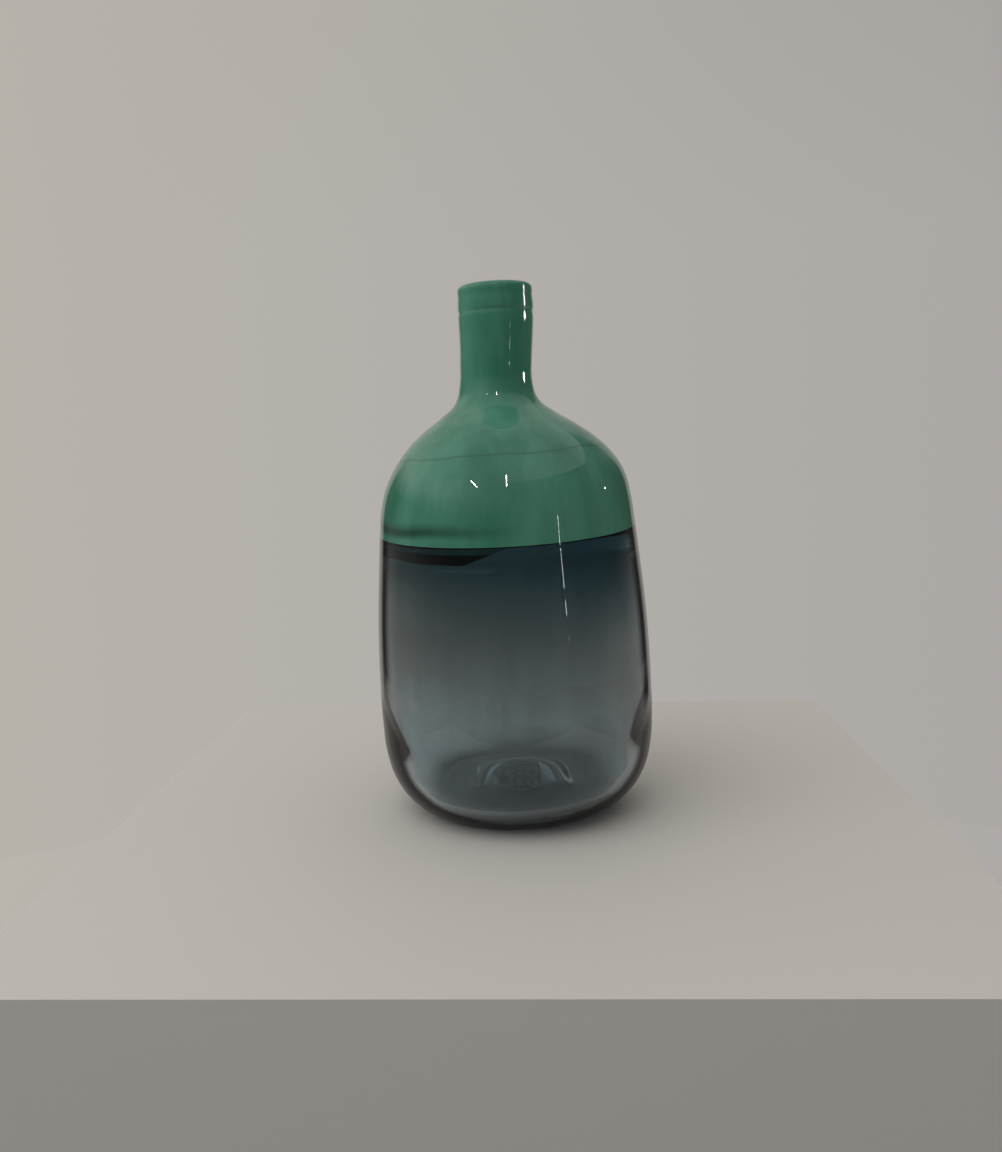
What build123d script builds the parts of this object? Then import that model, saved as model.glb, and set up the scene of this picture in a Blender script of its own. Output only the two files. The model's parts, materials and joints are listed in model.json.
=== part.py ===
from build123d import *
from math import cos, radians, sin
import os

# A hand blown bottle vase made of two cups welded hot: a clear smoke and steel blue body, and an
# opaque jade dome drawn up into a narrow neck. Every piece is a gather of glass fused to the next,
# so neighbours share one whole face and nothing moves.
os.makedirs("parts", exist_ok=True)

# Driving dimensions, mm. Radii are outside unless they say bore; heights run up the vase's axis.
lean = 1.6  # degrees, the axis leans towards -X as it rises

foot_radius = 38.0
foot_flare = 2.6  # the underside opens this much for each mm it rises
foot_stock = 0.5  # least glass ground off under the foot
punt_radius = 27.0  # hollow pushed up under the base
punt_depth = 6.5
heel_height = 8.0
heel_inset = 10.0  # how far the heel draws in from the belly
side_height = 24.0
side_inset = 2.4
belly_radius = 60.8
belly_height = 52.0
waist_height = 95.0
waist_inset = 1.6
seam_height = 125.5
seam_tilt = 3.4  # degrees, the seam dips towards -Y
rim_rise = 5.5  # the body's line runs this far over the seam's middle, past its high side
rim_inset = 5.1

shoulder_rise = 22.5  # heights of the dome are measured from the seam's middle
shoulder_inset = 9.0
crown_rise = 37.5
crown_overhang = 25.1  # the crown and the throat are wider than the neck by this much
throat_rise = 49.5
throat_overhang = 8.6
neck_rise = 64.5
neck_radius = 15.8
neck_length = 28.5  # straight stretch, up to the fold
mouth_radius = 16.3

floor_height = 7.3  # glass under the cavity, at the lowest ring of its floor
floor_radius = 30.0
floor_kick = 4.9  # the punt's push shows as a rise in the middle of the floor
heel_wall = 6.5
side_wall = 5.6
body_wall = 3.4
rim_wall = 3.8
neck_wall = 2.9

core_wall = 1.5  # inner steel blue gather
weld_height = 2.2  # dark ring where the two cups meet
lap_wall = 1.2  # tongue of dark glass lapped over the weld inside, on the -X side
lap_above = 6.0
lap_below = 7.5
lap_taper = 20.0

fold_depth = 11.5  # lip folded inwards
mouth_bore = 11.9
fold_round = 0.9
scar_radius = 13.0  # broken glass left by the pontil rod
scar_thickness = 1.6
scar_facets = (1.0, 0.84, 0.96, 0.78, 1.0, 0.88, 0.72, 0.94)  # uneven shares of scar_radius

# Sizes that follow from them
lean_run = sin(radians(lean))
lean_rise = cos(radians(lean))
foot_allowance = foot_radius * lean_run + foot_stock  # ground away to leave the foot level
foot_start = foot_radius - foot_flare * foot_allowance
rim_radius = belly_radius - rim_inset
rim_height = seam_height + rim_rise
weld_bottom = seam_height - weld_height
neck_height = seam_height + neck_rise
fold_height = neck_height + neck_length
height = fold_height + fold_depth  # 230 as it stands
lip_round = (mouth_radius - mouth_bore) / 2
reach = 2 * belly_radius

# The half section lies in a plane through the leaning axis, and the belly is centred over the origin.
section = Plane(
    origin=(belly_height * lean_run, 0, 0),
    x_dir=(lean_rise, 0, lean_run),
    z_dir=(0, -1, 0),
)
vase_axis = Axis(section.origin, section.y_dir)
foot_plane = Plane(section.origin, x_dir=section.x_dir, z_dir=section.y_dir)
seam_plane = foot_plane.offset(seam_height).rotated((seam_tilt, 0, 0))
weld_plane = seam_plane.offset(-weld_height)


def off_curve(curve, share, distance):
    """Point beside a curve, a distance to its left, a share of the way along it."""
    along = curve % share
    return curve @ share + Vector(-along.Y, along.X) * distance


def keep_band(low, high):
    """Keep only what the sketch has between two heights."""
    with Locations((0, low)):
        Rectangle(reach, high - low, align=(Align.MIN, Align.MIN), mode=Mode.INTERSECT)


# Glass wall from the foot to the fold of the lip, one closed half section
with BuildSketch() as wall:
    with BuildLine():
        punt_line = TangentArc((0, punt_depth), (punt_radius, -foot_allowance), tangent=(1, 0))
        foot_line = Line(punt_line @ 1, (foot_start, -foot_allowance))
        body_out = Spline(
            foot_line @ 1,
            (foot_radius, 0),
            (belly_radius - heel_inset, heel_height),
            (belly_radius - side_inset, side_height),
            (belly_radius, belly_height),
            (belly_radius - waist_inset, waist_height),
            (rim_radius, rim_height),
        )
        dome_out = Spline(
            body_out @ 1,
            (belly_radius - shoulder_inset, seam_height + shoulder_rise),
            (neck_radius + crown_overhang, seam_height + crown_rise),
            (neck_radius + throat_overhang, seam_height + throat_rise),
            (neck_radius, neck_height),
            tangents=(body_out % 1, (0, 1)),
        )
        neck_out = Line(dome_out @ 1, (mouth_radius, fold_height))
        fold_line = Line(neck_out @ 1, (mouth_radius - neck_wall, fold_height))
        neck_in = Line(fold_line @ 1, (neck_radius - neck_wall, neck_height))
        dome_in = Spline(
            neck_in @ 1,
            off_curve(dome_out, 0.75, neck_wall),
            off_curve(dome_out, 0.5, neck_wall),
            off_curve(dome_out, 0.25, rim_wall),
            off_curve(dome_out, 0, rim_wall),
            tangents=((0, -1), -(body_out % 1)),
        )
        body_in = Spline(
            dome_in @ 1,
            (belly_radius - waist_inset - body_wall, waist_height),
            (belly_radius - body_wall, belly_height),
            (belly_radius - side_inset - side_wall, side_height + side_wall / 2),
            (belly_radius - heel_inset - heel_wall / 2, heel_height + heel_wall),
            (floor_radius, floor_height),
            (0, floor_height + floor_kick),
            tangents=(dome_in % 1, (-1, 0)),
        )
        Line(body_in @ 1, punt_line @ 0)
    make_face()

# Everything inside the outer skin of the steel blue gather, down to the axis
with BuildSketch() as core_form:
    with BuildLine():
        core_shares = [step / 20 for step in range(21)]
        core_out = Spline(*[off_curve(body_in, share, core_wall) for share in core_shares])
        Polyline(core_out @ 1, (0, rim_height), core_out @ 0)
    make_face()

# Outer smoke gather, with the foot ground level
with BuildPart() as body_casing:
    with BuildSketch(section):
        add(wall.sketch)
        add(core_form.sketch, mode=Mode.SUBTRACT)
        keep_band(-foot_allowance, rim_height)
    revolve(axis=vase_axis)
    split(bisect_by=weld_plane, keep=Keep.BOTTOM)
    split(bisect_by=Plane.XY, keep=Keep.TOP)
body_casing.part.label = "body_casing"
export_step(body_casing.part, "parts/body_casing.step")

# Inner steel blue gather, lining the casing up to the weld
with BuildPart() as body_core:
    with BuildSketch(section):
        add(wall.sketch)
        add(core_form.sketch, mode=Mode.INTERSECT)
        keep_band(0, rim_height)
    revolve(axis=vase_axis)
    split(bisect_by=weld_plane, keep=Keep.BOTTOM)
body_core.part.label = "body_core"
export_step(body_core.part, "parts/body_core.step")

# Dark ring of glass where the two cups were stuck together
with BuildPart() as seam_weld:
    with BuildSketch(section):
        add(wall.sketch)
        keep_band(weld_bottom - rim_rise, rim_height)
    revolve(axis=vase_axis)
    split(bisect_by=weld_plane, keep=Keep.TOP)
    split(bisect_by=seam_plane, keep=Keep.BOTTOM)
seam_weld.part.label = "seam_weld"
export_step(seam_weld.part, "parts/seam_weld.step")

# Tongue of the same dark glass smeared over the weld inside, round half of it, tapered at its ends
with BuildPart() as seam_lap:
    with BuildSketch(section):
        with Locations((-lap_wall, 0)):
            add(wall.sketch)
        add(wall.sketch, mode=Mode.SUBTRACT)
        keep_band(weld_bottom - lap_below - rim_rise, rim_height + lap_above)
    revolve(axis=vase_axis)
    with BuildSketch(section):
        with BuildLine():
            Polyline(
                (0, weld_bottom),
                (-lap_taper, seam_height + lap_above),
                (-reach, seam_height + lap_above),
                (-reach, seam_height - lap_below),
                (-lap_taper, seam_height - lap_below),
                close=True,
            )
        make_face()
    extrude(amount=reach, dir=seam_plane.y_dir, both=True, mode=Mode.INTERSECT)
seam_lap.part.label = "seam_lap"
export_step(seam_lap.part, "parts/seam_lap.step")

# Opaque jade dome and neck, up to the fold
with BuildPart() as dome:
    with BuildSketch(section):
        add(wall.sketch)
        keep_band(weld_bottom - rim_rise, fold_height)
    revolve(axis=vase_axis)
    split(bisect_by=seam_plane, keep=Keep.TOP)
dome.part.label = "dome"
export_step(dome.part, "parts/dome.step")

# Lip folded inwards and fire polished to a full round
with BuildPart() as lip:
    with BuildSketch(section):
        with BuildLine():
            fold_face = Line((mouth_bore + fold_round, fold_height), (mouth_radius, fold_height))
            lip_side = Line(fold_face @ 1, (mouth_radius, height - lip_round))
            lip_top = ThreePointArc(
                lip_side @ 1,
                (mouth_radius - lip_round, height),
                (mouth_bore, height - lip_round),
            )
            lip_bore = Line(lip_top @ 1, (mouth_bore, fold_height + fold_round))
            TangentArc(lip_bore @ 1, fold_face @ 0, tangent=lip_bore % 1)
        make_face()
    revolve(axis=vase_axis)
lip.part.label = "lip"
export_step(lip.part, "parts/lip.step")

# Pontil scar, the rough stub of glass that stayed on when the rod was cracked off
with BuildPart() as pontil_scar:
    with BuildSketch(foot_plane):
        with BuildLine():
            turn = 360 / len(scar_facets)
            corners = [
                Vector(scar_radius * share, 0).rotate(Axis.Z, turn * place)
                for place, share in enumerate(scar_facets)
            ]
            Polyline(*corners, close=True)
        make_face()
    extrude(amount=punt_depth)
    with BuildSketch(section):
        with BuildLine():
            add(punt_line)
            scar_side = Line(punt_line @ 1, punt_line @ 1 - Vector(0, scar_thickness))
            scar_top = punt_line @ 0 - Vector(0, scar_thickness)
            scar_face = TangentArc(scar_top, scar_side @ 1, tangent=(1, 0))
            Line(scar_face @ 0, punt_line @ 0)
        make_face()
    revolve(axis=vase_axis, mode=Mode.INTERSECT)
pontil_scar.part.label = "pontil_scar"
export_step(pontil_scar.part, "parts/pontil_scar.step")
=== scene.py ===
import json
import math

import bmesh
import bpy
from mathutils import Matrix, Vector, noise


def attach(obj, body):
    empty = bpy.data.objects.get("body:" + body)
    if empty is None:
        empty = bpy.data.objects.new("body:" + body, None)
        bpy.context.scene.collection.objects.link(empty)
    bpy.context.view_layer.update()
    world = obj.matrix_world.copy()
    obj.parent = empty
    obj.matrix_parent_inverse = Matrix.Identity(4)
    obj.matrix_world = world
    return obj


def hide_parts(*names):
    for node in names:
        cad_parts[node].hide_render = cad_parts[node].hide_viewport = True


# Hand blown bottle vase: a clear smoke blue cup and an opaque jade cup, stuck together hot.
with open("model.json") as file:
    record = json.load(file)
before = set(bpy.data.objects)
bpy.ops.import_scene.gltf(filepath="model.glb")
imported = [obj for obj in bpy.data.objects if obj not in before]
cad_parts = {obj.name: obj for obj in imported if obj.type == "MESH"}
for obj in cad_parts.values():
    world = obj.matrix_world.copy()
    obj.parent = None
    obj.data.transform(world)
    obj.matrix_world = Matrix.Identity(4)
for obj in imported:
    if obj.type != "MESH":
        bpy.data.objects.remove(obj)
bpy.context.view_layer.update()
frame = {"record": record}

mm = 0.001


def linear(hexColour):
    # sRGB hex to the linear colour that nodes take
    channels = [int(hexColour[i:i + 2], 16) / 255 for i in (1, 3, 5)]
    return tuple(c / 12.92 if c <= 0.04045 else ((c + 0.055) / 1.055) ** 2.4 for c in channels) + (1.0,)


def smoothStep(low, high, value):
    share = min(max((value - low) / (high - low), 0), 1)
    return share * share * (3 - 2 * share)


def swell(value, middle, width):
    return math.exp(-((value - middle) / width) ** 2)


# ---- form

# The mouth's mount gives the axis: the vase leans a little to the left as it rises
mouth = next(mount for mount in frame["record"]["mounts"] if mount["name"] == "mouth")
axisLine = Vector(mouth["axis"])
axisFoot = Vector(mouth["pos_m"]) - axisLine * (mouth["pos_m"][2] / axisLine.z)
leanMatrix = Matrix.Translation(axisFoot) @ Matrix.Rotation(math.atan2(axisLine.x, axisLine.z), 4, "Y")

# Upright, before the lean: radius and height in mm, up the outside and down the inside
wallShape = {
    "outside": [
        (0, 6.5), (14, 4.4), (27, -1.2), (34, -1.2), (38.4, 0.2), (44.3, 3.1), (50.5, 8.0), (56.0, 16),
        (59.5, 28), (60.5, 42), (60.6, 57), (60.2, 76), (59.1, 95), (57.6, 112), (56.3, 125.5), (54.7, 138),
        (51.8, 148),
        (46.9, 156.2), (40.9, 163), (33.3, 169.2), (24.7, 175), (18.3, 180.6), (16.0, 188), (15.7, 198),
        (16.0, 209), (16.25, 216.5), (16.05, 218.5),
    ],
    "inside": [
        (13.3, 218.5), (13.1, 209), (12.8, 198), (13.0, 188.6), (14.8, 180), (20.6, 173.4), (31.2, 166.6),
        (38.9, 160), (44.4, 153.6), (48.5, 146), (51.0, 137), (52.5, 125.5), (53.8, 112), (55.4, 95),
        (57.0, 76), (57.2, 57), (56.0, 42), (53.6, 29), (50.4, 19), (45.6, 12.2), (39, 8.3), (30, 7.3),
        (20, 8.8), (10, 11.2), (0, 12.2),
    ],
    "segments": 180,
    "curveSteps": 7,
    "weldBottom": 123.3,
    "seam": 125.5,
    "fold": 218.5,
    "seamTilt": math.radians(3.4),  # the seam dips towards the front
}

# What the hand leaves behind, in mm
handWork = {
    "neckBend": -1.6,
    "neckBendAt": 185,
    "neckBendWidth": 20,
    "domeBend": 0.8,
    "domeBendAt": 154,
    "domeBendWidth": 13,
    "outWobble": 0.25,
    "inWobble": 0.7,
    "outFade": (4, 30, 165, 190),  # heights where the wobble grows, is whole, wanes and is gone
    "inFade": (16, 40, 110, 150),
    "wobbleTall": 60,
    "bead": 0.8,  # the weld's squeezed inner edge
    "beadAt": 115,
    "beadWidth": 3,
}


def curveThrough(points, name):
    # A smooth open line through a few points, as mesh edges
    data = bpy.data.curves.new(name, "CURVE")
    data.dimensions = "3D"
    data.resolution_u = wallShape["curveSteps"]
    spline = data.splines.new("BEZIER")
    spline.bezier_points.add(len(points) - 1)
    for knot, (radius, height) in zip(spline.bezier_points, points):
        knot.co = (radius * mm, 0, height * mm)
        knot.handle_left_type = knot.handle_right_type = "AUTO"
    holder = bpy.data.objects.new(name, data)
    line = bpy.data.meshes.new_from_object(holder)
    bpy.data.objects.remove(holder)
    return line


def handMoved(place, inside):
    # Bends and uneven walls of hand blown glass; place is upright, before the lean
    height = place.z / mm
    radius = math.hypot(place.x, place.y)
    if radius < 0.01 * mm:
        return place
    across, along = place.x / radius, place.y / radius
    swing = noise.noise((1.5 * across, 1.5 * along, height / handWork["wobbleTall"]))
    grows, whole, wanes, gone = handWork["outFade"]
    fading = smoothStep(grows, whole, height) * (1 - smoothStep(wanes, gone, height))
    grown = handWork["outWobble"] * swing * fading
    if inside:
        swing = noise.noise((1.1 * across + 7, 1.1 * along, height / handWork["wobbleTall"]))
        grows, whole, wanes, gone = handWork["inFade"]
        fading = smoothStep(grows, whole, height) * (1 - smoothStep(wanes, gone, height))
        grown += handWork["inWobble"] * swing * fading
        grown -= handWork["bead"] * swell(height, handWork["beadAt"], handWork["beadWidth"])
    radius += grown * mm
    moved = Vector((radius * across, radius * along, place.z))
    moved.x += mm * handWork["neckBend"] * swell(height, handWork["neckBendAt"], handWork["neckBendWidth"])
    moved.x += mm * handWork["domeBend"] * swell(height, handWork["domeBendAt"], handWork["domeBendWidth"])
    return moved


def spinRound(bm):
    bmesh.ops.spin(
        bm, geom=bm.verts[:] + bm.edges[:], cent=(0, 0, 0), axis=(0, 0, 1),
        angle=2 * math.pi, steps=wallShape["segments"], use_merge=True, use_duplicate=False,
    )
    bmesh.ops.remove_doubles(bm, verts=bm.verts, dist=0.002 * mm)
    bmesh.ops.recalc_face_normals(bm, faces=bm.faces)


def spunWall():
    # The whole wall, spun once; every gather of glass is a band of it
    bm = bmesh.new()
    insideLayer = bm.verts.layers.float.new("inside")
    for inside, side in enumerate(("outside", "inside")):
        known = len(bm.verts)
        bm.from_mesh(curveThrough(wallShape[side], side))
        bm.verts.ensure_lookup_table()
        for vert in bm.verts[known:]:
            vert[insideLayer] = inside
    fold = [v for v in bm.verts if abs(v.co.z - wallShape["fold"] * mm) < 0.001 * mm]
    bmesh.ops.contextual_create(bm, geom=fold)
    spinRound(bm)
    for vert in bm.verts:
        vert.co = handMoved(vert.co, vert[insideLayer] > 0.5)
    return bm


seamNormal = Vector((0, -math.sin(wallShape["seamTilt"]), math.cos(wallShape["seamTilt"])))
leanSeamNormal = leanMatrix.to_3x3() @ seamNormal
leanSeamLevel = (leanMatrix @ Vector((0, 0, wallShape["seam"] * mm))).dot(leanSeamNormal)


def seamRise(place):
    # Height above the seam's plane in mm, along the plane's own normal
    return (place - Vector((0, 0, wallShape["seam"] * mm))).dot(seamNormal) / mm


def cutAt(bm, place, normal, close=True):
    # Takes away what lies beyond a plane and closes the cut
    geom = bm.verts[:] + bm.edges[:] + bm.faces[:]
    bmesh.ops.bisect_plane(bm, geom=geom, dist=0.0001 * mm, plane_co=place, plane_no=normal, clear_outer=True)
    normal = normal.normalized()
    rim = [
        e for e in bm.edges
        if e.is_boundary and all(abs((v.co - place).dot(normal)) < 0.001 * mm for v in e.verts)
    ]
    if close and rim:
        bmesh.ops.bridge_loops(bm, edges=rim)
        bmesh.ops.recalc_face_normals(bm, faces=bm.faces)


def wallBand(low, high):
    # The wall between two heights, each parallel to the seam
    bm = fullWall.copy()
    if low is not None:
        cutAt(bm, Vector((0, 0, low * mm)), -seamNormal)
    if high is not None:
        cutAt(bm, Vector((0, 0, high * mm)), seamNormal)
    return bm


def finishPiece(bm, name, material, nodes, lean=True):
    # Leans the piece with the vase, attaches it to the root body, hides the nodes it stands for and gives it
    # its finish
    if lean:
        bmesh.ops.transform(bm, matrix=leanMatrix, verts=bm.verts)
    for face in bm.faces:
        face.smooth = True
    for edge in bm.edges:
        edge.smooth = not edge.is_manifold or edge.calc_face_angle(0) < math.radians(50)
    mesh = bpy.data.meshes.new(name)
    bm.to_mesh(mesh)
    bm.free()
    mesh.materials.append(material)
    piece = bpy.data.objects.new(name, mesh)
    bpy.context.scene.collection.objects.link(piece)
    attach(piece, "root")
    if nodes:
        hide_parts(*nodes)
    print(name, len(mesh.polygons), "faces")
    return piece


# ---- materials

def addNode(tree, kind, settings=None, links=None):
    # Adds a node; settings fill its properties, a ramp's stops and unlinked sockets, links join sockets
    node = tree.nodes.new(kind)
    for key, value in (settings or {}).items():
        if key == "stops":
            elements = node.color_ramp.elements
            while len(elements) < len(value):
                elements.new(0.5)
            for element, (position, colour) in zip(elements, value):
                element.position = position
                element.color = linear(colour)
        elif isinstance(key, str) and hasattr(node, key):
            setattr(node, key, value)
        else:
            node.inputs[key].default_value = value
    for key, source in (links or {}).items():
        tree.links.new(source, node.inputs[key])
    return node


def newMaterial(name):
    material = bpy.data.materials.new(name)
    material.use_nodes = True
    material.node_tree.nodes.clear()
    return material, material.node_tree


bodyFinish = {
    "ior": 1.51,
    "smoke": "#b8acaa",  # what the smoke leaves of white light
    "smokeDensity": 30,  # per metre
    # from facing the eye to edge on: the smoke's own browning, darkened much further with painted shade at
    # the edges
    "smokeSkinAndEdgeShade": [(0.0, "#ffffff"), (0.6, "#ffffff"), (0.7, "#7a6c6c"), (0.8, "#3c2c2e")],
    "heelPaintedShade": "#161213",  # painted shade on the heel, seen edge on
    "blueByHeight": [
        (0.0, "#cddfe6"), (0.25, "#c6d8df"), (0.38, "#b8c3c6"), (0.52, "#a0a9aa"), (0.66, "#97a3a6"),
        (0.82, "#758d93"), (1.0, "#547883"),
    ],
    "blueTop": 125,  # mm, where the ramp above ends
    "streakWidth": 6,  # mm
    "streakLift": 24,  # mm, how far the streaks shift the height that the blue is read at
    "rightDarker": 0.12,  # the same, for each unit to the right
    "heelTop": 56,  # mm, where the painted heel shade starts
    "heelFull": 38,  # mm, where it is whole
    "heelEdge": (0.6, 0.72),  # how edge on the glass is, where the painted shade starts and is whole
    "heelLift": (-0.35, 0.06),
    "heelLeft": -0.8,  # wider on the left
}


def smokeBlueGlass():
    # Soda lime glass, blown and fire polished: a smoke gather cased over a steel blue one.
    # Smoke browns the thick edges a little, and painted shade makes the edges much darker where they are seen
    # edge on; the blue inside is pulled thin towards the foot, dark at the weld.
    material, tree = newMaterial("blownSmokeBlueGlass")
    place = addNode(tree, "ShaderNodeTexCoord").outputs["Object"]
    split = addNode(tree, "ShaderNodeSeparateXYZ", links={"Vector": place})
    stretched = addNode(tree, "ShaderNodeMapping", {"Scale": (1, 1, 0.06)}, {"Vector": place})
    streaks = addNode(
        tree, "ShaderNodeTexNoise",
        {"Scale": 1 / (bodyFinish["streakWidth"] * mm), "Detail": 2.0},
        {"Vector": stretched.outputs["Vector"]},
    )
    # the streaks lift and lower the height that the colour is read at, and the right side stays darker
    reach = bodyFinish["streakLift"] * mm
    lift = addNode(
        tree, "ShaderNodeMath", {"operation": "MULTIPLY_ADD", 1: reach, 2: -reach / 2},
        {0: streaks.outputs["Fac"]},
    )
    right = addNode(
        tree, "ShaderNodeMath",
        {"operation": "MULTIPLY_ADD", 1: bodyFinish["rightDarker"]},
        {0: split.outputs["X"], 2: split.outputs["Z"]},
    )
    rise = addNode(
        tree, "ShaderNodeMath", {"operation": "ADD"}, {0: right.outputs[0], 1: lift.outputs[0]},
    )
    share = addNode(
        tree, "ShaderNodeMath", {"operation": "DIVIDE", 1: bodyFinish["blueTop"] * mm}, {0: rise.outputs[0]},
    )
    blue = addNode(
        tree, "ShaderNodeValToRGB", {"stops": bodyFinish["blueByHeight"]}, {"Fac": share.outputs[0]},
    )
    slant = addNode(tree, "ShaderNodeLayerWeight", {"Blend": 0.5})
    # painted shade: the edges go dark brown where they are seen edge on, far darker than the smoke alone
    # makes them
    skinAndEdgeShade = addNode(
        tree, "ShaderNodeValToRGB",
        {"stops": bodyFinish["smokeSkinAndEdgeShade"]}, {"Fac": slant.outputs["Facing"]},
    )
    # smoke and its painted edge shade lie on the outer face only
    inner = addNode(tree, "ShaderNodeAttribute", {"attribute_name": "inside"}).outputs["Fac"]
    skinAndEdgeShade = addNode(
        tree, "ShaderNodeMix", {"data_type": "RGBA", 7: (1, 1, 1, 1)}, {0: inner, 6: skinAndEdgeShade.outputs["Color"]},
    )
    cased = addNode(
        tree, "ShaderNodeMix", {"data_type": "RGBA", "blend_type": "MULTIPLY", 0: 1.0},
        {6: blue.outputs["Color"], 7: skinAndEdgeShade.outputs[2]},
    )
    shader = addNode(
        tree, "ShaderNodeBsdfPrincipled",
        {"Roughness": 0.0, "IOR": bodyFinish["ior"], "Transmission Weight": 1.0},
        {"Base Color": cased.outputs[2]},
    )
    # Where the heel is seen edge on, painted shade makes it nearly black; only low down, and more on the
    # left.
    # It is painted on the outer face, since one wall of clear glass doesn't darken this much.
    low = addNode(
        tree, "ShaderNodeMapRange",
        {
            "From Min": bodyFinish["heelTop"] * mm, "From Max": bodyFinish["heelFull"] * mm,
            "To Min": bodyFinish["heelLift"][0], "To Max": bodyFinish["heelLift"][1],
        },
        {"Value": split.outputs["Z"]},
    )
    rim = addNode(
        tree, "ShaderNodeMath",
        {"operation": "MULTIPLY_ADD", 1: bodyFinish["heelLeft"]},
        {0: split.outputs["X"], 2: low.outputs["Result"]},
    )
    edge = addNode(
        tree, "ShaderNodeMath", {"operation": "ADD"}, {0: slant.outputs["Facing"], 1: rim.outputs[0]},
    )
    leaving = addNode(tree, "ShaderNodeNewGeometry").outputs["Backfacing"]
    hidden = addNode(tree, "ShaderNodeMath", {"operation": "ADD"}, {0: leaving, 1: inner})
    edge = addNode(
        tree, "ShaderNodeMath", {"operation": "SUBTRACT"}, {0: edge.outputs[0], 1: hidden.outputs[0]},
    )
    heel = addNode(
        tree, "ShaderNodeMapRange",
        {
            "interpolation_type": "SMOOTHSTEP",
            "From Min": bodyFinish["heelEdge"][0], "From Max": bodyFinish["heelEdge"][1],
        },
        {"Value": edge.outputs[0]},
    )
    # painted shade: a near-black shader laid over the heel where it is seen edge on
    paintedHeelShade = addNode(
        tree, "ShaderNodeBsdfPrincipled",
        {"Base Color": linear(bodyFinish["heelPaintedShade"]), "Roughness": 0.2, "Specular IOR Level": 0.1},
    )
    shader = addNode(
        tree, "ShaderNodeMixShader",
        links={0: heel.outputs["Result"], 1: shader.outputs[0], 2: paintedHeelShade.outputs[0]},
    )
    smoke = addNode(tree, "ShaderNodeVolumeAbsorption", {
        "Color": linear(bodyFinish["smoke"]), "Density": bodyFinish["smokeDensity"],
    })
    addNode(
        tree, "ShaderNodeOutputMaterial", links={"Surface": shader.outputs[0], "Volume": smoke.outputs[0]},
    )
    return material


jadeFinish = {
    "ior": 1.52,
    "dark": "#41886f",
    "light": "#5fa48c",
    "neckShade": 1.1,  # the neck against the dome
    "smudge": "#23453c",
    "hairline": "#2c5a4b",
    "cloudSize": 22,  # mm
    "ripple": 14,  # mm from crest to crest
    "rippleStrength": 0.03,
    "roughness": (0.01, 0.025),
    "smudgeStart": 1.5,  # mm above the seam
    "smudgeRise": 5.2,  # half its height, mm
    "smudgeWave": 3,  # mm
    "smudgeShare": 0.8,
    "smudgeFrom": 5,  # mm across, where it starts and is whole, on the left
    "smudgeTo": -40,
    "hairlineHeight": 158,
    "hairlineTilt": 0.06,
    "hairlineWave": 5,  # mm
    "hairlineWidth": (0.15, 0.6),  # mm each way, solid and faded out
    "hairlineShare": 0.4,
    "neckFrom": 168,  # mm, where the shade of the neck starts and is whole
    "neckTo": 190,
}


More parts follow.
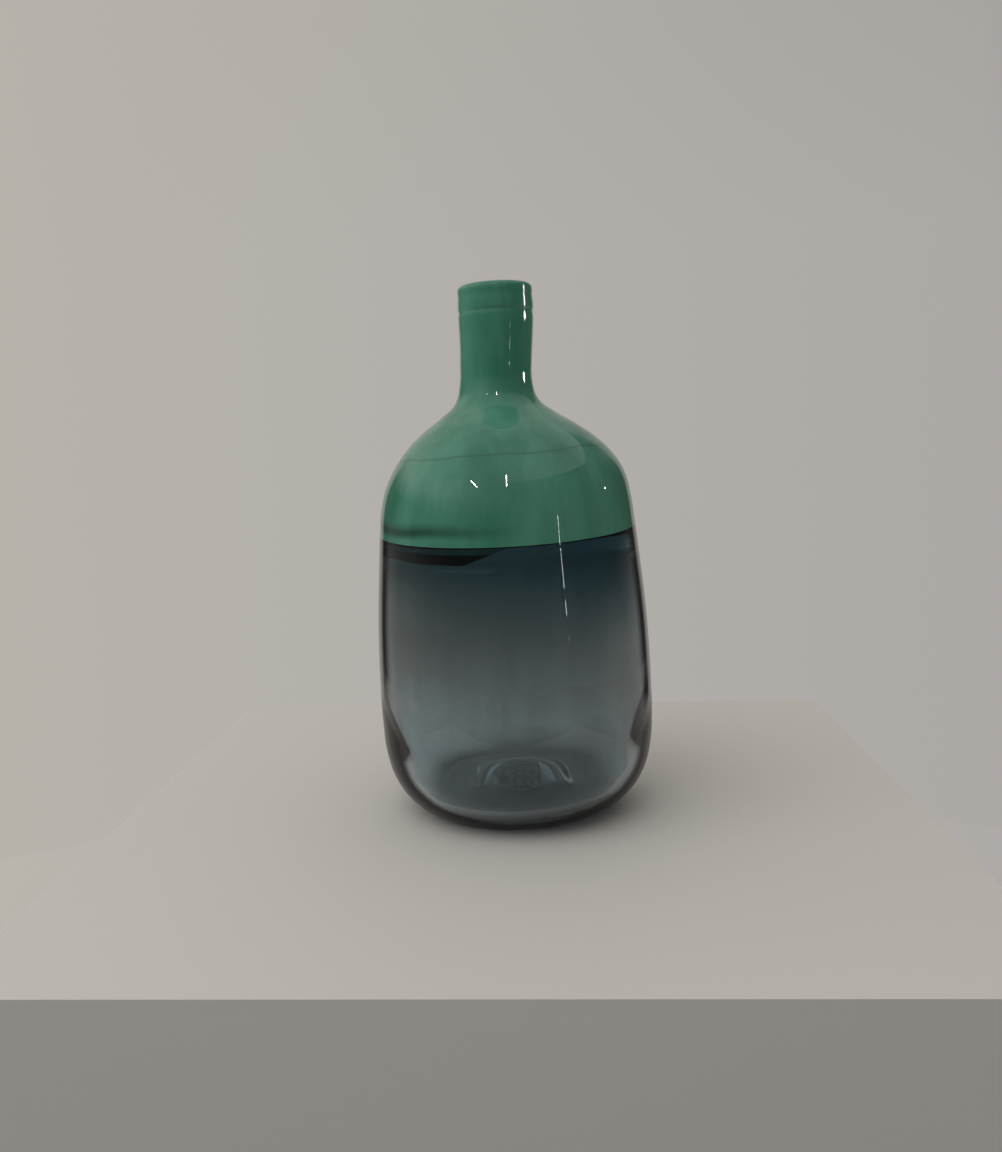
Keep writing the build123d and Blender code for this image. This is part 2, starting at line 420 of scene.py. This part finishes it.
def jadeGlass():
    # Opaque jade glass, blown and fire polished: wet gloss over a colour drawn into soft upright streaks.
    material, tree = newMaterial("blownJadeGlass")
    place = addNode(tree, "ShaderNodeTexCoord").outputs["Object"]
    split = addNode(tree, "ShaderNodeSeparateXYZ", links={"Vector": place})
    stretched = addNode(tree, "ShaderNodeMapping", {"Scale": (1, 1, 0.3)}, {"Vector": place})
    clouds = addNode(
        tree, "ShaderNodeTexNoise",
        {"Scale": 1 / (jadeFinish["cloudSize"] * mm), "Detail": 4.0, "Roughness": 0.55},
        {"Vector": stretched.outputs["Vector"]},
    )
    jade = addNode(
        tree, "ShaderNodeValToRGB", {"stops": [(0.35, jadeFinish["dark"]), (0.65, jadeFinish["light"])]},
        {"Fac": clouds.outputs["Fac"]},
    )
    drawn = addNode(
        tree, "ShaderNodeMapRange",
        {
            "From Min": jadeFinish["neckFrom"] * mm, "From Max": jadeFinish["neckTo"] * mm,
            "To Min": 1.0, "To Max": jadeFinish["neckShade"],
        },
        {"Value": split.outputs["Z"]},
    )
    jade = addNode(
        tree, "ShaderNodeVectorMath", {"operation": "SCALE"},
        {0: jade.outputs["Color"], "Scale": drawn.outputs["Result"]},
    )
    # height above the seam, for the smear of dark glass dragged over the jade's lower edge
    fromSeam = addNode(
        tree, "ShaderNodeVectorMath", {"operation": "DOT_PRODUCT", 1: tuple(leanSeamNormal)}, {0: place},
    )
    wave = addNode(tree, "ShaderNodeTexNoise", {"Scale": 30.0, "Detail": 1.0}, {"Vector": place})
    waved = addNode(
        tree, "ShaderNodeMath",
        {"operation": "MULTIPLY_ADD", 1: jadeFinish["smudgeWave"] * mm},
        {0: wave.outputs["Fac"], 2: fromSeam.outputs["Value"]},
    )
    smudgeTop = jadeFinish["smudgeStart"] + 2 * jadeFinish["smudgeRise"]
    band = addNode(
        tree, "ShaderNodeMapRange",
        {
            "From Min": leanSeamLevel + jadeFinish["smudgeStart"] * mm,
            "From Max": leanSeamLevel + smudgeTop * mm,
        },
        {"Value": waved.outputs[0]},
    )
    smear = addNode(
        tree, "ShaderNodeValToRGB",
        {"stops": [(0.22, "#000000"), (0.45, "#ffffff"), (0.56, "#ffffff"), (0.9, "#000000")]},
        {"Fac": band.outputs["Result"]},
    )
    leftOnly = addNode(
        tree, "ShaderNodeMapRange",
        {
            "From Min": jadeFinish["smudgeFrom"] * mm, "From Max": jadeFinish["smudgeTo"] * mm,
            "To Max": jadeFinish["smudgeShare"],
        },
        {"Value": split.outputs["X"]},
    )
    smearShare = addNode(
        tree, "ShaderNodeMath", {"operation": "MULTIPLY"},
        {0: smear.outputs["Color"], 1: leftOnly.outputs["Result"]},
    )
    smeared = addNode(
        tree, "ShaderNodeMix", {"data_type": "RGBA", 7: linear(jadeFinish["smudge"])},
        {0: smearShare.outputs[0], 6: jade.outputs["Vector"]},
    )
    # a hair of darker glass trapped round the dome
    tilted = addNode(
        tree, "ShaderNodeVectorMath",
        {"operation": "DOT_PRODUCT", 1: (-jadeFinish["hairlineTilt"], 0, 1)}, {0: place},
    )
    drift = addNode(
        tree, "ShaderNodeMath",
        {"operation": "MULTIPLY_ADD", 1: jadeFinish["hairlineWave"] * mm},
        {0: wave.outputs["Fac"], 2: tilted.outputs["Value"]},
    )
    hairMiddle = jadeFinish["hairlineHeight"] + jadeFinish["hairlineWave"] / 2
    off = addNode(
        tree, "ShaderNodeMath", {"operation": "SUBTRACT", 1: hairMiddle * mm}, {0: drift.outputs[0]},
    )
    away = addNode(tree, "ShaderNodeMath", {"operation": "ABSOLUTE"}, {0: off.outputs[0]})
    solid, faded = jadeFinish["hairlineWidth"]
    hair = addNode(
        tree, "ShaderNodeMapRange",
        {
            "From Min": solid * mm, "From Max": faded * mm,
            "To Min": jadeFinish["hairlineShare"], "To Max": 0.0,
        },
        {"Value": away.outputs[0]},
    )
    lined = addNode(
        tree, "ShaderNodeMix", {"data_type": "RGBA", 7: linear(jadeFinish["hairline"])},
        {0: hair.outputs["Result"], 6: smeared.outputs[2]},
    )
    ripple = addNode(
        tree, "ShaderNodeTexNoise", {"Scale": 1 / (jadeFinish["ripple"] * mm), "Detail": 1.0},
        {"Vector": stretched.outputs["Vector"]},
    )
    bump = addNode(
        tree, "ShaderNodeBump", {"Strength": jadeFinish["rippleStrength"], "Distance": 1 * mm},
        {"Height": ripple.outputs["Fac"]},
    )
    smooth, dulled = jadeFinish["roughness"]
    gloss = addNode(
        tree, "ShaderNodeMapRange",
        {"From Min": 0.3, "From Max": 0.7, "To Min": smooth, "To Max": dulled},
        {"Value": clouds.outputs["Fac"]},
    )
    shader = addNode(
        tree, "ShaderNodeBsdfPrincipled", {"IOR": jadeFinish["ior"]},
        {
            "Base Color": lined.outputs[2], "Roughness": gloss.outputs["Result"],
            "Normal": bump.outputs["Normal"],
        },
    )
    addNode(tree, "ShaderNodeOutputMaterial", links={"Surface": shader.outputs[0]})
    return material


weldFinish = {
    "ior": 1.52,
    "roughness": 0.06,
    "black": "#040405",
    "maroon": "#160a0e",
    "teal": "#a8c8c6",
    "streakWidth": 9,  # mm
    "tealBlend": 0.5,  # mm
    "tealAbove": 3.3,  # mm under the seam, the lap is clear teal above this
}


def weldGlass(name, tealAbove):
    # Cobalt and manganese glass laid so thick it reads black, and maroon where it thins.
    # With tealAbove, it is clear teal from that many mm under the seam upwards.
    material, tree = newMaterial(name)
    place = addNode(tree, "ShaderNodeTexCoord").outputs["Object"]
    stretched = addNode(tree, "ShaderNodeMapping", {"Scale": (1, 1, 2.5)}, {"Vector": place})
    streaks = addNode(
        tree, "ShaderNodeTexNoise", {"Scale": 1 / (weldFinish["streakWidth"] * mm), "Detail": 3.0},
        {"Vector": stretched.outputs["Vector"]},
    )
    thin = addNode(
        tree, "ShaderNodeValToRGB", {"stops": [(0.45, weldFinish["black"]), (0.7, weldFinish["maroon"])]},
        {"Fac": streaks.outputs["Fac"]},
    )
    colour = thin.outputs["Color"]
    if tealAbove:
        fromSeam = addNode(
            tree, "ShaderNodeVectorMath", {"operation": "DOT_PRODUCT", 1: tuple(leanSeamNormal)}, {0: place},
        )
        tealFoot = tealAbove + weldFinish["tealBlend"]
        teal = addNode(
            tree, "ShaderNodeMapRange",
            {"From Min": leanSeamLevel - tealFoot * mm, "From Max": leanSeamLevel - tealAbove * mm},
            {"Value": fromSeam.outputs["Value"]},
        )
        mixed = addNode(
            tree, "ShaderNodeMix", {"data_type": "RGBA", 7: linear(weldFinish["teal"])},
            {0: teal.outputs["Result"], 6: colour},
        )
        colour = mixed.outputs[2]
    shader = addNode(
        tree, "ShaderNodeBsdfPrincipled",
        {"Roughness": weldFinish["roughness"], "IOR": weldFinish["ior"]}, {"Base Color": colour},
    )
    if tealAbove:
        tree.links.new(teal.outputs["Result"], shader.inputs["Transmission Weight"])
    addNode(tree, "ShaderNodeOutputMaterial", links={"Surface": shader.outputs[0]})
    return material


scarFinish = {"pale": "#eef2f0", "grey": "#a9b1af", "grain": 2.2, "ior": 1.51}  # grain in mm


def brokenGlass():
    # Soda lime glass cracked off the rod and left raw: pale and frosted against the polished glass.
    material, tree = newMaterial("crackedScarGlass")
    place = addNode(tree, "ShaderNodeTexCoord").outputs["Object"]
    grain = addNode(
        tree, "ShaderNodeTexNoise", {"Scale": 1 / (scarFinish["grain"] * mm), "Detail": 5.0},
        {"Vector": place},
    )
    colour = addNode(
        tree, "ShaderNodeValToRGB",
        {"stops": [(0.35, scarFinish["grey"]), (0.6, scarFinish["pale"])]},
        {"Fac": grain.outputs["Fac"]},
    )
    bump = addNode(
        tree, "ShaderNodeBump", {"Strength": 0.6, "Distance": 0.4 * mm}, {"Height": grain.outputs["Fac"]},
    )
    shader = addNode(
        tree, "ShaderNodeBsdfPrincipled", {"Roughness": 0.45, "IOR": scarFinish["ior"]},
        {"Base Color": colour.outputs["Color"], "Normal": bump.outputs["Normal"]},
    )
    addNode(tree, "ShaderNodeOutputMaterial", links={"Surface": shader.outputs[0]})
    return material


bodyMaterial = smokeBlueGlass()
jadeMaterial = jadeGlass()
weldMaterial = weldGlass("blackWeldGlass", 0)
lapMaterial = weldGlass("blackLapGlass", weldFinish["tealAbove"])
scarMaterial = brokenGlass()
print("materials made")

# ---- pieces

fullWall = spunWall()
print("wall spun", len(fullWall.verts), "points")

weldLine = {
    "least": 0.35,  # mm of black that shows at the front
    "left": 0.9,
    "leftSpread": 50,  # degrees each way
    "right": 5.5,
    "rightAt": 4,
    "rightSpread": 30,
    "back": 1.5,
    "backTurn": (40, 90, 100, 150),  # degrees where it grows, is whole, wanes and is gone
    "fade": 14,  # mm down the body that the glass gives way over
    "wallSlope": -0.1,
}


flatDepth = wallShape["seam"] - wallShape["weldBottom"]


def weldDepth(place):
    # How far the black weld reaches under the seam, by where it is round the vase
    turn = math.degrees(math.atan2(place.y, place.x))
    fromLeft = (turn % 360) - 180
    grows, whole, wanes, gone = weldLine["backTurn"]
    return (
        weldLine["least"]
        + weldLine["left"] * swell(fromLeft, 0, weldLine["leftSpread"])
        + weldLine["right"] * swell(turn, weldLine["rightAt"], weldLine["rightSpread"])
        + weldLine["back"] * smoothStep(grows, whole, turn) * (1 - smoothStep(wanes, gone, turn))
    )


def followWeld(bm, share):
    # Slides the weld's lower edge along the wall; share says how much each height takes
    for vert in bm.verts:
        slide = (flatDepth - weldDepth(vert.co)) * share(seamRise(vert.co)) * mm
        radius = math.hypot(vert.co.x, vert.co.y)
        if slide and radius > 1 * mm:
            grow = 1 + slide * weldLine["wallSlope"] / radius
            vert.co = Vector((vert.co.x * grow, vert.co.y * grow, vert.co.z + slide))


def makeBodyCup():
    # The clear cup: smoke casing and blue core are one glass to a ray, so they share one wall
    bm = wallBand(None, wallShape["weldBottom"])
    followWeld(bm, lambda rise: 1 - smoothStep(0, weldLine["fade"], -rise - flatDepth))
    bmesh.ops.transform(bm, matrix=leanMatrix, verts=bm.verts)
    for vert in bm.verts:
        vert.co.z = max(vert.co.z, 0)  # the foot, ground level
    return finishPiece(
        bm, "body_cup", bodyMaterial, ("body_casing", "body_core"), lean=False,
    )


def makeWeldRing():
    bm = wallBand(wallShape["weldBottom"] - 0.05, wallShape["seam"])
    followWeld(bm, lambda rise: min(max(-rise / flatDepth, 0), 1))
    return finishPiece(bm, "weld_ring", weldMaterial, ("seam_weld",))


def makeDome():
    bm = wallBand(wallShape["seam"], None)
    return finishPiece(bm, "dome_cup", jadeMaterial, ("dome",))


lapShape = {
    "above": 6.0,
    "below": 7.6,
    "start": 4,
    "taper": 14,
    "thickness": 1.0,
    "sunk": 0.15,  # into the wall, so the two glasses meet
    "ragged": 0.5,
}


def makeInnerLap():
    # Tongue of black glass smeared over the weld inside, on the left, tapering out towards the front
    bm = fullWall.copy()
    insideLayer = bm.verts.layers.float["inside"]
    outer = [f for f in bm.faces if not all(v[insideLayer] > 0.5 for v in f.verts)]
    bmesh.ops.delete(bm, geom=outer, context="FACES")
    seam = wallShape["seam"]
    start = Vector((lapShape["start"] * mm, 0, wallShape["weldBottom"] * mm))
    cutAt(bm, Vector((0, 0, (seam + lapShape["above"]) * mm)), seamNormal, close=False)
    cutAt(bm, Vector((0, 0, (seam - lapShape["below"]) * mm)), -seamNormal, close=False)
    for rise in (lapShape["above"], -lapShape["below"] + seam - wallShape["weldBottom"]):
        edge = Vector((-lapShape["taper"], 0, rise))
        outward = edge.cross(Vector((0, -1, 0))) * (1 if rise > 0 else -1)
        cutAt(bm, start, outward, close=False)
    for vert in bm.verts:
        nearEdge = swell(seamRise(vert.co), -lapShape["below"], 2)
        vert.co.z += noise.noise(vert.co * 90) * lapShape["ragged"] * nearEdge * mm
    bmesh.ops.recalc_face_normals(bm, faces=bm.faces)
    for vert in bm.verts:
        away = Vector((vert.co.x, vert.co.y, 0)).normalized()
        vert.co += away * lapShape["sunk"] * mm
    bmesh.ops.solidify(bm, geom=bm.faces[:], thickness=lapShape["thickness"] * mm)
    bmesh.ops.recalc_face_normals(bm, faces=bm.faces)
    return finishPiece(bm, "inner_lap", lapMaterial, ("seam_lap",))


lipShape = [
    (15.95, 218.5), (16.28, 219.6), (16.3, 222), (16.1, 225.6), (16.2, 227.4), (15.9, 228.9), (15.0, 229.8),
    (13.8, 230), (12.6, 229.3), (11.95, 227.5), (11.9, 223), (12.0, 219.8), (13.0, 218.5),
]


def makeLip():
    # Folded lip: a soft step where the fold meets the neck, a full round on top
    bm = bmesh.new()
    bm.from_mesh(curveThrough(lipShape, "lip"))
    ends = [v for v in bm.verts if len(v.link_edges) == 1]
    bmesh.ops.contextual_create(bm, geom=ends)
    spinRound(bm)
    return finishPiece(bm, "lip_fold", jadeMaterial, ("lip",))


scarShape = {
    "radius": 12.5,
    "corners": (1.0, 0.84, 0.96, 0.78, 1.0, 0.88, 0.72, 0.94),
    "top": 6.5,
    "hollow": 0.0106,  # the punt drops by this times the radius squared
    "sunk": 0.15,
    "thickness": 1.2,
    "rough": 0.35,
}


def makeScar():
    bm = bmesh.new()
    count = len(scarShape["corners"])
    bmesh.ops.create_circle(bm, cap_ends=True, radius=scarShape["radius"] * mm, segments=count)
    bm.verts.ensure_lookup_table()
    for corner, share in zip(bm.verts[:], scarShape["corners"]):
        corner.co *= share
    bmesh.ops.poke(bm, faces=bm.faces[:])
    bmesh.ops.subdivide_edges(bm, edges=bm.edges[:], cuts=7, use_grid_fill=True)
    under = bmesh.ops.extrude_face_region(bm, geom=bm.faces[:])
    lower = {v for v in under["geom"] if isinstance(v, bmesh.types.BMVert)}
    for vert in bm.verts:
        radius = math.hypot(vert.co.x, vert.co.y) / mm
        height = scarShape["top"] - scarShape["hollow"] * radius ** 2
        if vert in lower:
            rough = noise.noise(vert.co * 400) * scarShape["rough"]
            height += rough - scarShape["thickness"]
        else:
            height += scarShape["sunk"]
        vert.co.z = height * mm
    bmesh.ops.recalc_face_normals(bm, faces=bm.faces)
    return finishPiece(bm, "pontil_stub", scarMaterial, ("pontil_scar",))


makeBodyCup()
makeWeldRing()
makeInnerLap()
makeDome()
makeLip()
makeScar()

# ---- stage

stageShape = {
    "plinth": 0.352,  # a square pale plinth for a floor
    "plinthShift": 0.002,
    "plinthTurn": math.radians(-2.9),
    "drop": 0.9,
    "gap": 0.02 * mm,
    "cycRadius": 2.6,
    "cycTop": 2.4,
}


# How bright the wall is, round from the left by way of the viewer, in four layers up from the ground
wallGlow = [
    (None, None, [
        (0.0, "#b4b2ae"), (0.06, "#8c8a88"), (0.25, "#5a5856"), (0.44, "#8c8a88"), (0.5, "#b4b2ae"),
        (0.66, "#aaa6a3"), (0.75, "#b0aca8"), (0.84, "#b6b2aa"), (0.9, "#b4b2ae"),
    ]),
    (-0.62, -0.52, [
        (0.0, "#b4b2ae"), (0.06, "#8c8a88"), (0.25, "#5a5856"), (0.44, "#8c8a88"), (0.5, "#b4b2ae"),
        (0.6, "#b4b2ae"), (0.63, "#3e3c3a"), (0.65, "#3e3c3a"), (0.662, "#aaa6a3"), (0.75, "#b0aca8"),
        (0.838, "#b6b2aa"), (0.85, "#3e3c3a"), (0.87, "#3e3c3a"), (0.9, "#b4b2ae"),
    ]),
    (-0.15, 0.2, [
        (0.0, "#4a4846"), (0.25, "#444240"), (0.65, "#3e3c3a"), (0.662, "#aaa6a3"), (0.75, "#b0aca8"),
        (0.838, "#b6b2aa"), (0.85, "#3e3c3a"),
    ]),
    (0.7, 1.3, [
        (0.0, "#d0ceca"), (0.1, "#d0ceca"), (0.25, "#8c8a88"), (0.4, "#4c4a48"), (0.6, "#4c4a48"),
        (0.65, "#6a6866"), (0.67, "#a6a29f"), (0.84, "#b6b2aa"), (0.9, "#d4d1cb"),
    ]),
]


def stageObject(bm, name, material):
    mesh = bpy.data.meshes.new(name)
    bm.to_mesh(mesh)
    bm.free()
    mesh.materials.append(material)
    made = bpy.data.objects.new(name, mesh)
    bpy.context.scene.collection.objects.link(made)
    return made


def makeStage():
    material, tree = newMaterial("palePlinth")
    shader = addNode(tree, "ShaderNodeBsdfPrincipled", {"Base Color": linear("#eeebe6"), "Roughness": 0.7})
    addNode(tree, "ShaderNodeOutputMaterial", links={"Surface": shader.outputs[0]})
    bm = bmesh.new()
    bmesh.ops.create_cube(bm, size=1)
    bmesh.ops.scale(bm, vec=(stageShape["plinth"], stageShape["plinth"], stageShape["drop"]), verts=bm.verts)
    bmesh.ops.translate(
        bm, vec=(0, stageShape["plinthShift"], -stageShape["drop"] / 2 - stageShape["gap"]), verts=bm.verts,
    )
    bmesh.ops.rotate(bm, matrix=Matrix.Rotation(stageShape["plinthTurn"], 3, "Z"), verts=bm.verts)
    stageObject(bm, "floor", material)

    # A pale wall all round, with dim strips beside the view that give the glass its dark edges
    material, tree = newMaterial("paleWall")
    place = addNode(tree, "ShaderNodeTexCoord").outputs["Object"]
    turn = addNode(tree, "ShaderNodeTexGradient", {"gradient_type": "RADIAL"}, {"Vector": place})
    split = addNode(tree, "ShaderNodeSeparateXYZ", links={"Vector": place})
    glow = None
    for low, high, stops in wallGlow:
        ramp = addNode(tree, "ShaderNodeValToRGB", {"stops": stops}, {"Fac": turn.outputs["Fac"]})
        around = ramp.outputs["Color"]
        if glow:
            rise = addNode(
                tree, "ShaderNodeMapRange", {"From Min": low, "From Max": high},
                {"Value": split.outputs["Z"]},
            )
            around = addNode(
                tree, "ShaderNodeMix", {"data_type": "RGBA"}, {0: rise.outputs["Result"], 6: glow, 7: around},
            ).outputs[2]
        glow = around
    shader = addNode(
        tree, "ShaderNodeBsdfPrincipled",
        {"Base Color": linear("#101010"), "Roughness": 0.9, "Emission Strength": 1.0},
        {"Emission Color": glow},
    )
    addNode(tree, "ShaderNodeOutputMaterial", links={"Surface": shader.outputs[0]})
    bm = bmesh.new()
    rim = bmesh.ops.create_circle(bm, cap_ends=False, radius=stageShape["cycRadius"], segments=96)
    grown = bmesh.ops.extrude_edge_only(bm, edges=bm.edges[:])
    top = [v for v in grown["geom"] if isinstance(v, bmesh.types.BMVert)]
    bmesh.ops.translate(bm, vec=(0, 0, stageShape["cycTop"]), verts=top)
    bmesh.ops.translate(bm, vec=(0, 0, -stageShape["drop"]), verts=rim["verts"])
    bmesh.ops.create_circle(
        bm, cap_ends=True, radius=stageShape["cycRadius"], segments=96,
        matrix=Matrix.Translation((0, 0, -stageShape["drop"])),
    )
    for face in bm.faces:
        face.smooth = len(face.verts) == 4
    stageObject(bm, "backdrop", material)


makeStage()


def addLamp(name, place, target, size, radiance):
    data = bpy.data.lights.new(name, "AREA")
    data.shape = "RECTANGLE"
    data.size, data.size_y = size
    data.energy = radiance * math.pi * size[0] * size[1]
    lamp = bpy.data.objects.new(name, data)
    aim = Vector(target) - Vector(place)
    lamp.matrix_world = Matrix.Translation(place) @ aim.to_track_quat("-Z", "Y").to_matrix().to_4x4()
    bpy.context.scene.collection.objects.link(lamp)
    return lamp


# Two ceiling tubes run towards the viewer; thin upright gaps of daylight stand to the right
tubes = {
    "height": 1.9,
    "hang": 0.16,
    "forward": -1.11,  # these three are shares of the height
    "length": 0.56,
    "across": {"tubeLeft": -0.71, "tubeMiddle": -0.04},
    "width": 0.03,
    "radiance": 130,
}
vaseMiddle = Vector((0, 0, 0.12))
forward = Vector((0, 1, 0))
for name, across in tubes["across"].items():
    high = tubes["height"]
    place = Vector((across * high, tubes["forward"] * high, high + tubes["hang"]))
    tube = addLamp(name, place, vaseMiddle, (tubes["width"], tubes["length"] * high), tubes["radiance"])
    side = (vaseMiddle - place).cross(forward).normalized()
    turned = Matrix((side, forward, side.cross(forward))).transposed().to_4x4()
    tube.matrix_world = Matrix.Translation(place) @ turned
    tube.visible_diffuse = False

# turn in degrees from the front, distance, lower and upper end in metres, spread in degrees, radiance
gaps = [
    (43.5, 1.2, 0.084, 0.132, 180, 14),
    (43.5, 1.2, 0.168, 0.222, 180, 14),
    (41.9, 0.5, 0.165, 0.206, 180, 14),
    (99, 0.5, 0.24, 0.36, 14, 8),  # narrow, so that it falls on the neck
]
neckAim = Vector((0, 0, 0.225))
gapWidth = 0.008  # for each metre of distance
for turn, distance, low, high, spread, radiance in gaps:
    direction = Vector((math.sin(math.radians(turn)), -math.cos(math.radians(turn)), 0))
    middle = direction * distance + Vector((0, 0, (low + high) / 2))
    aim = middle - direction if spread == 180 else neckAim
    gap = addLamp("gap", middle, aim, (gapWidth * distance, high - low), radiance)
    gap.data.spread = math.radians(spread)
    gap.visible_diffuse = False

# The soft light, kept out of the reflections
key = addLamp("softKey", (-0.8, -0.8, 1.35), (0, 0, 0.1), (1.8, 1.8), 0.72)
key.visible_glossy = False

world = bpy.data.worlds.new("world")
bpy.context.scene.world = world
world.use_nodes = True
sky = world.node_tree.nodes["Background"]
sky.inputs["Color"].default_value = linear("#fffaf4")
sky.inputs["Strength"].default_value = 0.52
print("stage and light ready")

# ---- camera

view = {
    "place": (-5.5 * mm, -464.7 * mm, 162.2 * mm),
    "pitch": math.radians(7.19),
    "roll": math.radians(-1.57),
    "lens": 32.8125,  # mm, for a frame 36 mm tall
    "sensor": 36,
}
cameraData = bpy.data.cameras.new("camera")
cameraData.lens = view["lens"]
cameraData.sensor_width = view["sensor"]
camera = bpy.data.objects.new("camera", cameraData)
camera.matrix_world = (
    Matrix.Translation(view["place"])
    @ Matrix.Rotation(math.radians(90) - view["pitch"], 4, "X")
    @ Matrix.Rotation(view["roll"], 4, "Z")
)
bpy.context.scene.collection.objects.link(camera)
bpy.context.scene.camera = camera
bpy.context.scene.view_settings.view_transform = "Standard"
